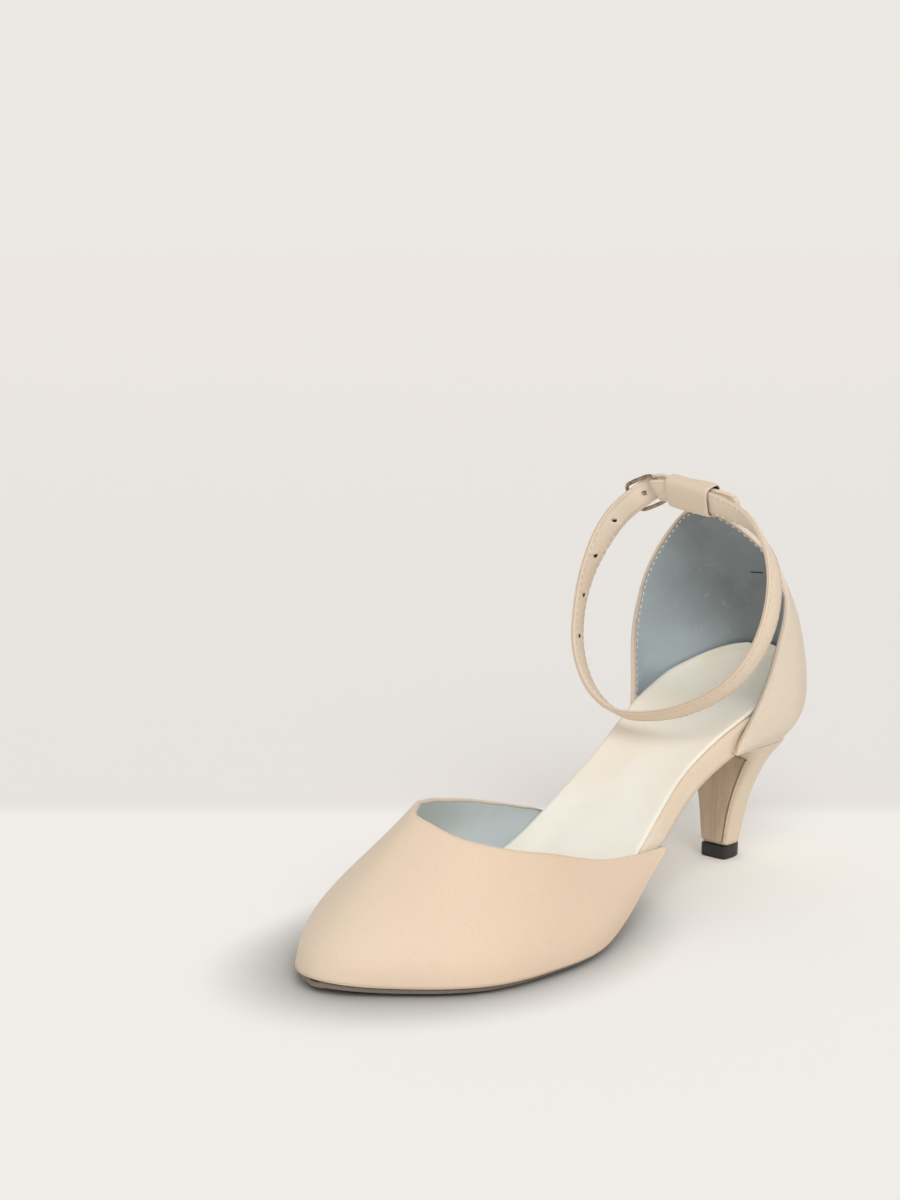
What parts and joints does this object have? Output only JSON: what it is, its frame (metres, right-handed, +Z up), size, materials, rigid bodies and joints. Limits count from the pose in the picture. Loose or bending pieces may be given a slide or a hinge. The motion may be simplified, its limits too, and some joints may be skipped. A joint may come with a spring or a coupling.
{
  "type": "pencil heel shoe",
  "caption": "Closed-toe pump with a slim covered heel, open waist, tall closed heel counter and a buckled ankle strap through a loop at its top.",
  "frame": {"origin": "middle of the forefoot's flat spot on the floor, under the ball of the foot", "axes": "+X towards the toe, +Y to the outer side of this left shoe, +Z up; millimetres in the source, metres in the row"},
  "size_m": [0.2201, 0.0826, 0.1325],
  "materials": {
    "upper_leather": "smooth, faintly grained, satin",
    "heel_cover": "smooth, satin",
    "insole_edge": "smooth, satin",
    "sock_lining": "soft, matt to satin",
    "strap_leather": "smooth, satin",
    "outsole_rubber": "matt",
    "top_piece": "matt",
    "buckle_metal": "polished, pale gold"
  },
  "bodies": {
    "root": {"outsole": "outsole_rubber", "insole_board": "insole_edge", "sock": "sock_lining", "vamp": "upper_leather", "counter": "upper_leather", "heel": "heel_cover", "heel_breast_cover": "heel_cover", "heel_tip": "top_piece", "strap_loop": "strap_leather", "ankle_strap": "strap_leather", "buckle_frame": "buckle_metal", "buckle_prong": "buckle_metal"}
  },
  "joints": []
}
